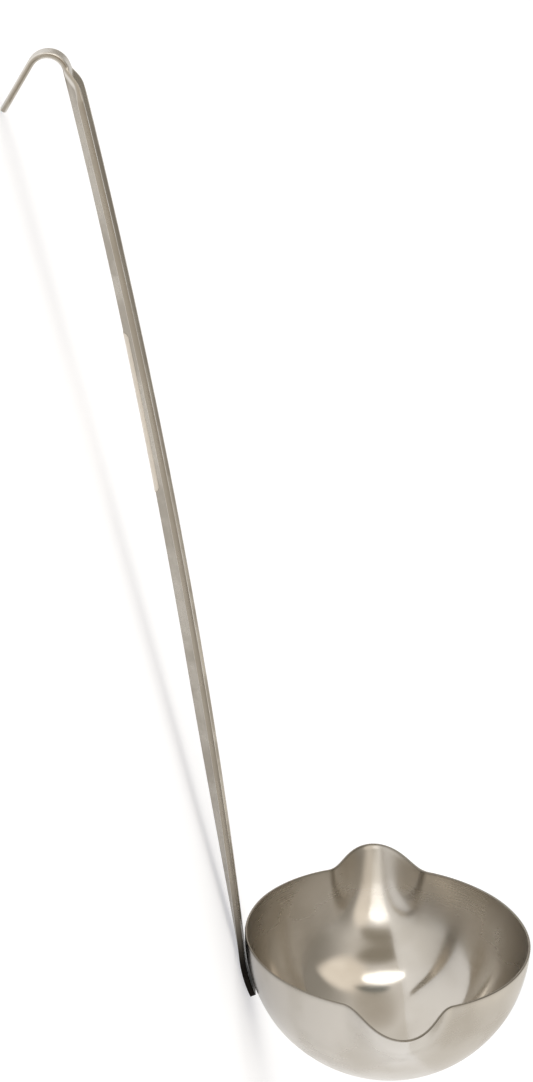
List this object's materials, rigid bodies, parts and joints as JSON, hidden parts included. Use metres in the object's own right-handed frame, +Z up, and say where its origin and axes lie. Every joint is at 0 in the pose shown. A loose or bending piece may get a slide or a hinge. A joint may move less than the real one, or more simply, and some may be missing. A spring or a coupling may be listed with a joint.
{
  "type": "canning ladle",
  "caption": "Stainless steel ladle with a deep half-round bowl, a pouring lip on each side and a ribbed strip handle that ends in a hook.",
  "frame": {"origin": "middle of the bounding box, at the height of the table that the ladle lies on", "axes": "+X along the handle from the hook to the bowl, +Z up from the table, +Y across, towards one of the two lips"},
  "size_m": [0.3726, 0.136, 0.1004],
  "materials": {
    "bowl_steel": "satin polished",
    "handle_steel": "brushed along its length",
    "weld_steel": "fused, slightly dull"
  },
  "bodies": {
    "root": {"bowl": "bowl_steel", "handle": "handle_steel", "lower_spot_weld": "weld_steel", "upper_spot_weld": "weld_steel"}
  },
  "joints": []
}
